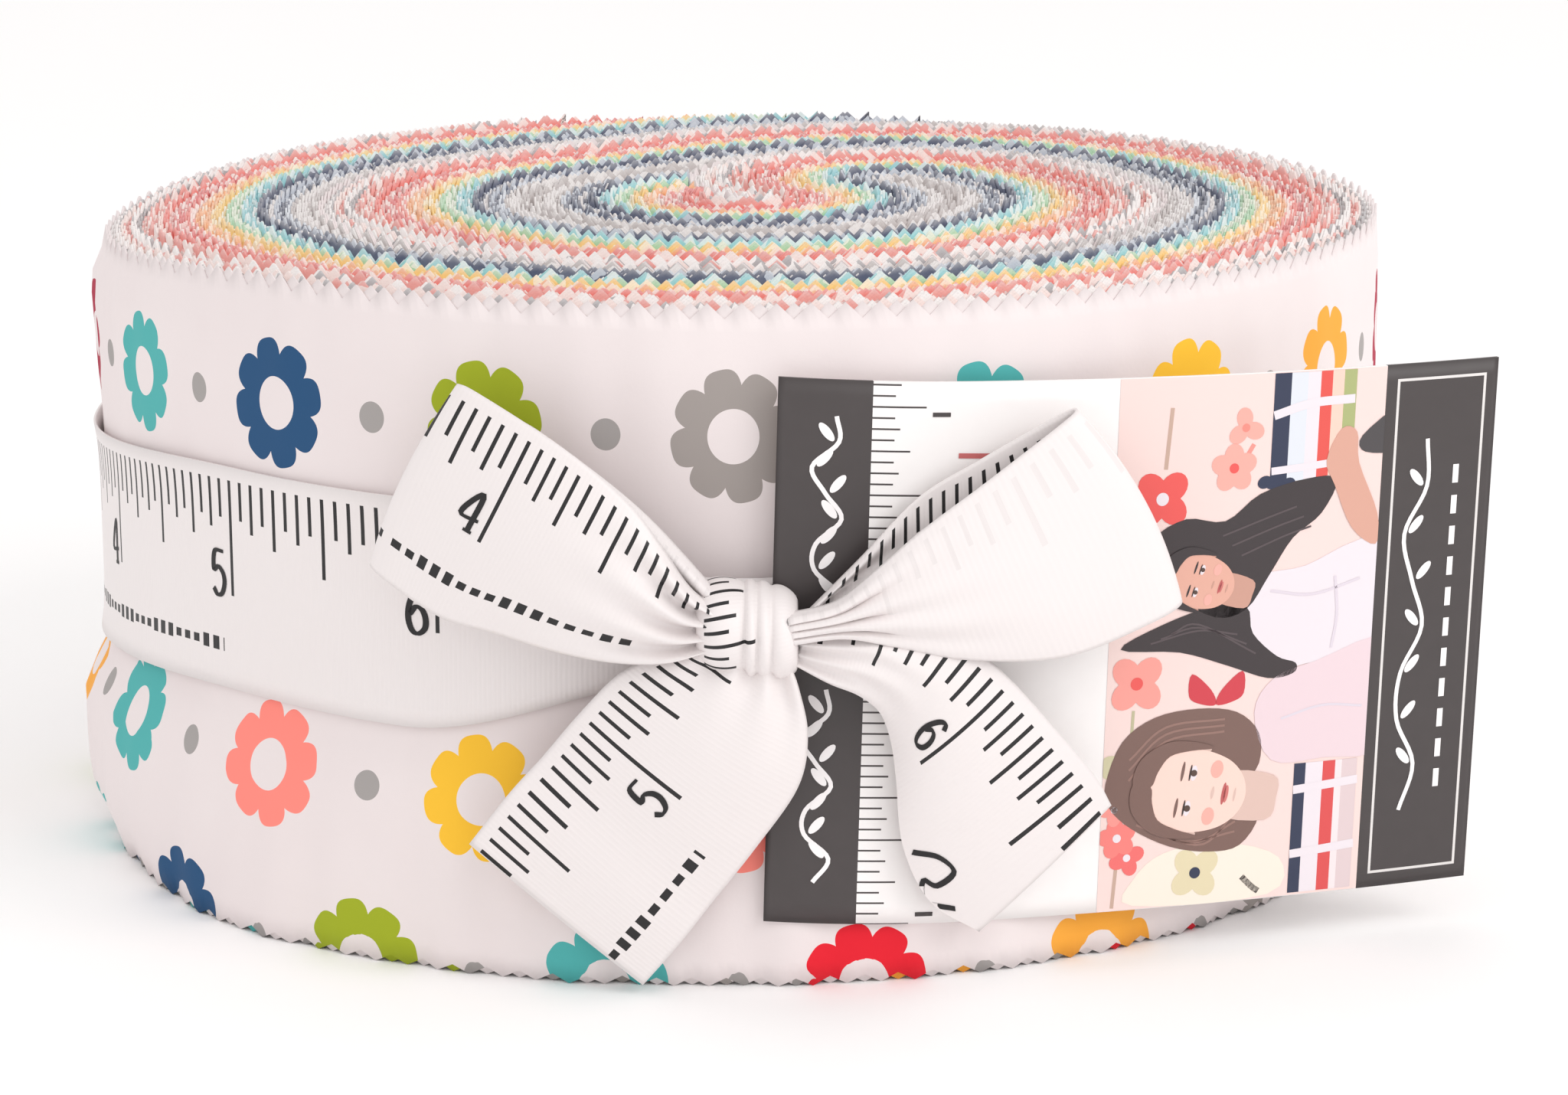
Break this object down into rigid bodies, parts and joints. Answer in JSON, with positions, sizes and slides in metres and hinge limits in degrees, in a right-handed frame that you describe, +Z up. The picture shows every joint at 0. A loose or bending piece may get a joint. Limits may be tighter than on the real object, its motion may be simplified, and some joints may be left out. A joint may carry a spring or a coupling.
{
  "type": "roll of precut quilting strips",
  "caption": "Roll of pinked precut quilting cotton strips, tied with a tape-measure ribbon bow and carrying a printed card label that stands off one side.",
  "frame": {"origin": "on the roll's axis, in the plane of its base", "axes": "+Z up along the roll's axis; -Y is the front, where the bow is; +X is the side towards which the card label stands off"},
  "size_m": [0.1394, 0.146, 0.0635],
  "materials": {
    "cotton_grey": "matt printed quilting cotton, grey and white",
    "cotton_navy": "matt printed quilting cotton, navy",
    "cotton_aqua": "matt printed quilting cotton, aqua and green",
    "cotton_yellow": "matt printed quilting cotton, yellow and orange",
    "cotton_coral": "matt printed quilting cotton, coral and red",
    "cotton_blush": "matt printed quilting cotton, white with small pink prints",
    "cotton_floral": "matt quilting cotton, white with coloured flowers and grey dots",
    "ribbon": "soft satin twill tape, white with black inch marks and numerals",
    "card": "satin coated printed card, charcoal bands and a printed picture"
  },
  "bodies": {
    "root": {"strip_01": "cotton_grey", "strip_02": "cotton_grey", "strip_03": "cotton_grey", "strip_04": "cotton_grey", "strip_05": "cotton_grey", "strip_06": "cotton_navy", "strip_07": "cotton_navy", "strip_08": "cotton_navy", "strip_09": "cotton_navy", "strip_10": "cotton_navy", "strip_11": "cotton_navy", "strip_12": "cotton_aqua", "strip_13": "cotton_aqua", "strip_14": "cotton_aqua", "strip_15": "cotton_aqua", "strip_16": "cotton_aqua", "strip_17": "cotton_aqua", "strip_18": "cotton_yellow", "strip_19": "cotton_yellow", "strip_20": "cotton_yellow", "strip_21": "cotton_yellow", "strip_22": "cotton_yellow", "strip_23": "cotton_yellow", "strip_24": "cotton_coral", "strip_25": "cotton_coral", "strip_26": "cotton_coral", "strip_27": "cotton_coral", "strip_28": "cotton_coral", "strip_29": "cotton_coral", "strip_30": "cotton_coral", "strip_31": "cotton_blush", "strip_32": "cotton_blush", "strip_33": "cotton_blush", "strip_34": "cotton_blush", "strip_35": "cotton_blush", "strip_36": "cotton_blush", "strip_37": "cotton_blush", "strip_38": "cotton_blush", "strip_39": "cotton_blush", "strip_40": "cotton_floral", "ribbon_band": "ribbon", "ribbon_knot": "ribbon", "label_wrap": "card"},
    "loop_left": {"ribbon_loop_left": "ribbon"},
    "loop_right": {"ribbon_loop_right": "ribbon"},
    "tail_left": {"ribbon_tail_left": "ribbon"},
    "tail_right": {"ribbon_tail_right": "ribbon"},
    "flap": {"label_flap": "card"}
  },
  "joints": [
    {"name": "loop_left_swing", "type": "hinge", "parent": "root", "child": "loop_left", "pos_m": [-0.00577, -0.07606, 0.0352], "axis": [0, 0, 1], "range_deg": [0, 30], "stiffness_Nm_per_rad": 0.002},
    {"name": "loop_right_swing", "type": "hinge", "parent": "root", "child": "loop_right", "pos_m": [0.00657, -0.07743, 0.0374], "axis": [0, 0, -1], "range_deg": [0, 30], "stiffness_Nm_per_rad": 0.002},
    {"name": "tail_left_lift", "type": "hinge", "parent": "root", "child": "tail_left", "pos_m": [0.00071, -0.07257, 0.0326], "axis": [-0.7344, 0.0772, 0.6743], "range_deg": [0, 25]},
    {"name": "tail_right_lift", "type": "hinge", "parent": "root", "child": "tail_right", "pos_m": [0.00436, -0.07336, 0.0336], "axis": [-0.6754, -0.1191, -0.7278], "range_deg": [0, 25]},
    {"name": "label_flex", "type": "hinge", "parent": "root", "child": "flap", "pos_m": [0.04432, -0.05874, 0.0317], "axis": [0, 0, -1], "range_deg": [-30, 35], "stiffness_Nm_per_rad": 0.004}
  ]
}
